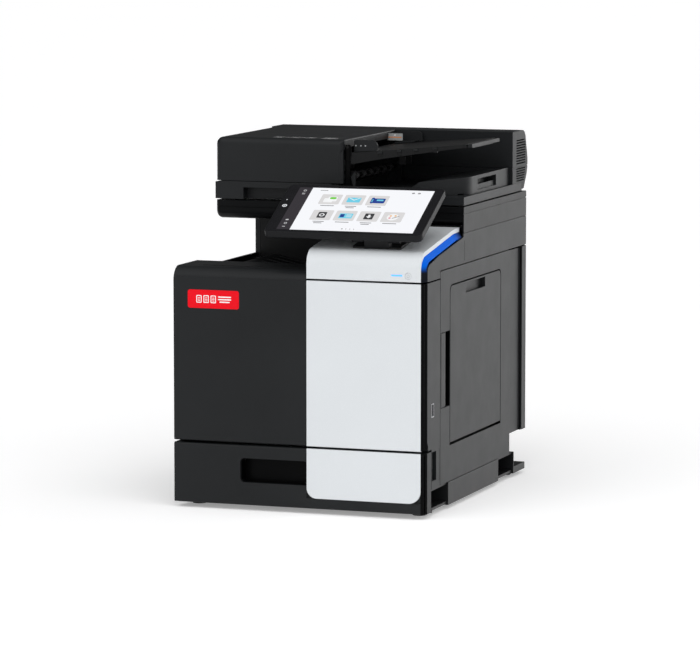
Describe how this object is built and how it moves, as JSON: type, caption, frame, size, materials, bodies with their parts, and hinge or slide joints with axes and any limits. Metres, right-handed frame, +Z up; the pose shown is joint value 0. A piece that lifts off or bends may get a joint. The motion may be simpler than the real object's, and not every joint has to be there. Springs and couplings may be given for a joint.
{
  "type": "photocopier",
  "caption": "Desktop copier with a document feeder lid, tilting touch panel, front door, paper drawer, hinged side door with bypass tray and an open output bay.",
  "frame": {"origin": "on the floor, under the middle of the machine's box", "axes": "+X to the operator's right, +Y from the front to the back, +Z up"},
  "size_m": [0.42, 0.5337, 0.572],
  "materials": {
    "charcoal": "fine-textured charcoal ABS",
    "black_plastic": "textured black ABS",
    "white_plastic": "satin white ABS",
    "light_grey": "fine-textured grey ABS",
    "blue_plastic": "satin blue trim",
    "badge_red": "satin red plate",
    "screen_glass": "dark cover glass over a lit display",
    "platen_glass": "clear float glass",
    "foam_white": "white foam-backed sheet",
    "steel": "zinc-plated sheet",
    "chrome_metal": "plated steel",
    "rubber_black": "matt rubber",
    "roller_rubber": "matt roller rubber on a steel shaft",
    "light_led": "lit blue light pipe",
    "inner_black": "black inner plastic",
    "drum_green": "coated drum in a black frame",
    "belt_film": "polyimide belt",
    "board_green": "printed circuit board",
    "key_plastic": "satin grey key"
  },
  "bodies": {
    "machine": {"base_frame": "black_plastic", "rubber_feet": "rubber_black", "frame_plates": "steel", "transfer_belt": "belt_film", "drum_units": "drum_green", "toner_cartridges": "inner_black", "laser_unit": "inner_black", "fuser_unit": "inner_black", "main_board": "board_green", "left_cover": "charcoal", "rear_cover": "charcoal", "mains_inlet": "black_plastic", "right_front_cover": "charcoal", "right_upper_cover": "charcoal", "front_upper_cover": "white_plastic", "accent_strip": "blue_plastic", "status_light": "light_led", "top_front_cover": "charcoal", "output_tray": "charcoal", "bay_wall": "charcoal", "usb_port": "chrome_metal", "scanner_housing": "charcoal", "scanner_glasses": "platen_glass", "lid_hinges": "steel", "panel_bracket": "black_plastic", "cover_screws": "steel"},
    "pickup_shaft": {"pickup_roller": "roller_rubber"},
    "exit_shaft": {"exit_roller": "roller_rubber"},
    "fan": {"exhaust_fan": "inner_black"},
    "key": {"power_key": "key_plastic"},
    "switch": {"main_switch": "black_plastic"},
    "front_door": {"front_door": "charcoal", "front_door_panel": "white_plastic", "badge_plate": "badge_red"},
    "drawer": {"drawer_front": "charcoal", "drawer_panel": "white_plastic", "drawer_pan": "light_grey"},
    "lift": {"lift_plate": "steel"},
    "fence_front": {"paper_guide_front": "light_grey"},
    "fence_rear": {"paper_guide_rear": "light_grey"},
    "side_door": {"side_door": "charcoal", "side_door_guide": "inner_black"},
    "transfer_shaft": {"transfer_roller": "roller_rubber"},
    "lever": {"door_lever": "charcoal"},
    "bypass": {"bypass_tray": "charcoal", "bypass_extension": "light_grey"},
    "carriage": {"scan_carriage": "inner_black"},
    "lid": {"adf_base": "charcoal", "platen_pad": "foam_white", "adf_rear_housing": "charcoal", "adf_exit_tray": "charcoal"},
    "feed_cover": {"adf_feed_cover": "charcoal"},
    "feed_shaft": {"adf_feed_roller": "roller_rubber"},
    "lid_exit_shaft": {"adf_exit_roller": "roller_rubber"},
    "document_tray": {"document_tray": "charcoal"},
    "document_fence_front": {"document_guide_front": "charcoal"},
    "document_fence_rear": {"document_guide_rear": "charcoal"},
    "extension": {"tray_extension": "charcoal"},
    "panel": {"control_panel": "black_plastic", "panel_screen": "screen_glass"}
  },
  "joints": [
    {"name": "front_door_hinge", "type": "hinge", "parent": "machine", "child": "front_door", "pos_m": [0, -0.2595, 0.112], "axis": [1, 0, 0], "range_deg": [0, 86]},
    {"name": "drawer_slide", "type": "slide", "parent": "machine", "child": "drawer", "axis": [0, -1, 0], "range_m": [0, 0.32]},
    {"name": "lift_plate_hinge", "type": "hinge", "parent": "drawer", "child": "lift", "pos_m": [-0.145, -0.015, 0.026], "axis": [0, -1, 0], "range_deg": [0, 7]},
    {"name": "paper_guide_slide", "type": "slide", "parent": "drawer", "child": "fence_front", "axis": [0, 1, 0], "range_m": [0, 0.03]},
    {"name": "paper_guide_rear_slide", "type": "slide", "parent": "drawer", "child": "fence_rear", "axis": [0, 1, 0], "range_m": [-0.03, 0]},
    {"name": "side_door_hinge", "type": "hinge", "parent": "machine", "child": "side_door", "pos_m": [0.202, 0.166, 0.21], "axis": [0, 0, 1], "range_deg": [0, 90]},
    {"name": "transfer_roller_spin", "type": "hinge", "parent": "side_door", "child": "transfer_shaft", "pos_m": [0.168, -0.015, 0.226], "axis": [0, 1, 0], "continuous": true},
    {"name": "lever_hinge", "type": "hinge", "parent": "side_door", "child": "lever", "pos_m": [0.2055, -0.1865, 0.22375], "axis": [0, 0, -1], "range_deg": [0, 14], "stiffness_Nm_per_rad": 0.5, "springref_deg": -5.73},
    {"name": "bypass_hinge", "type": "hinge", "parent": "side_door", "child": "bypass", "pos_m": [0.2035, -0.011, 0.11], "axis": [0, 1, 0], "range_deg": [0, 80]},
    {"name": "pickup_roller_spin", "type": "hinge", "parent": "machine", "child": "pickup_shaft", "pos_m": [0.14, -0.015, 0.124], "axis": [0, 1, 0], "continuous": true},
    {"name": "exit_roller_spin", "type": "hinge", "parent": "machine", "child": "exit_shaft", "pos_m": [0.068, -0.015, 0.392], "axis": [0, 1, 0], "continuous": true},
    {"name": "fan_spin", "type": "hinge", "parent": "machine", "child": "fan", "pos_m": [-0.14, 0.248, 0.385], "axis": [0, 1, 0], "continuous": true},
    {"name": "power_key_press", "type": "slide", "parent": "machine", "child": "key", "axis": [0, 1, 0], "range_m": [0, 0.001], "stiffness_N_per_m": 300, "springref_m": -0.001},
    {"name": "main_switch_rock", "type": "hinge", "parent": "machine", "child": "switch", "pos_m": [0.2, -0.2228, 0.086], "axis": [0, 1, 0], "range_deg": [0, 12]},
    {"name": "carriage_slide", "type": "slide", "parent": "machine", "child": "carriage", "axis": [1, 0, 0], "range_m": [0, 0.33]},
    {"name": "lid_hinge", "type": "hinge", "parent": "machine", "child": "lid", "pos_m": [0, 0.242, 0.483], "axis": [-1, 0, 0], "range_deg": [0, 58]},
    {"name": "feed_cover_hinge", "type": "hinge", "parent": "lid", "child": "feed_cover", "pos_m": [-0.2065, 0.055, 0.5052], "axis": [0, -1, 0], "range_deg": [0, 75]},
    {"name": "feed_roller_spin", "type": "hinge", "parent": "lid", "child": "feed_shaft", "pos_m": [-0.04, 0.05, 0.52], "axis": [0, 1, 0], "continuous": true},
    {"name": "adf_exit_roller_spin", "type": "hinge", "parent": "lid", "child": "lid_exit_shaft", "pos_m": [0.014, 0.05, 0.513], "axis": [0, 1, 0], "continuous": true},
    {"name": "document_tray_hinge", "type": "hinge", "parent": "lid", "child": "document_tray", "pos_m": [0.0125, 0.06, 0.56], "axis": [0, -1, 0], "range_deg": [0, 22]},
    {"name": "document_guide_slide", "type": "slide", "parent": "document_tray", "child": "document_fence_front", "axis": [0, 1, 0], "range_m": [0, 0.06]},
    {"name": "document_guide_rear_slide", "type": "slide", "parent": "document_tray", "child": "document_fence_rear", "axis": [0, 1, 0], "range_m": [-0.06, 0]},
    {"name": "tray_extension_slide", "type": "slide", "parent": "document_tray", "child": "extension", "axis": [0.9965, 0, 0.0837], "range_m": [0, 0.06]},
    {"name": "panel_tilt", "type": "hinge", "parent": "machine", "child": "panel", "pos_m": [0.1375, -0.24281, 0.43246], "axis": [1, 0, 0], "range_deg": [-18, 45]}
  ],
  "couplings": [
    {"joint": "paper_guide_rear_slide", "follows": "paper_guide_slide", "ratio": -1},
    {"joint": "document_guide_rear_slide", "follows": "document_guide_slide", "ratio": -1}
  ]
}
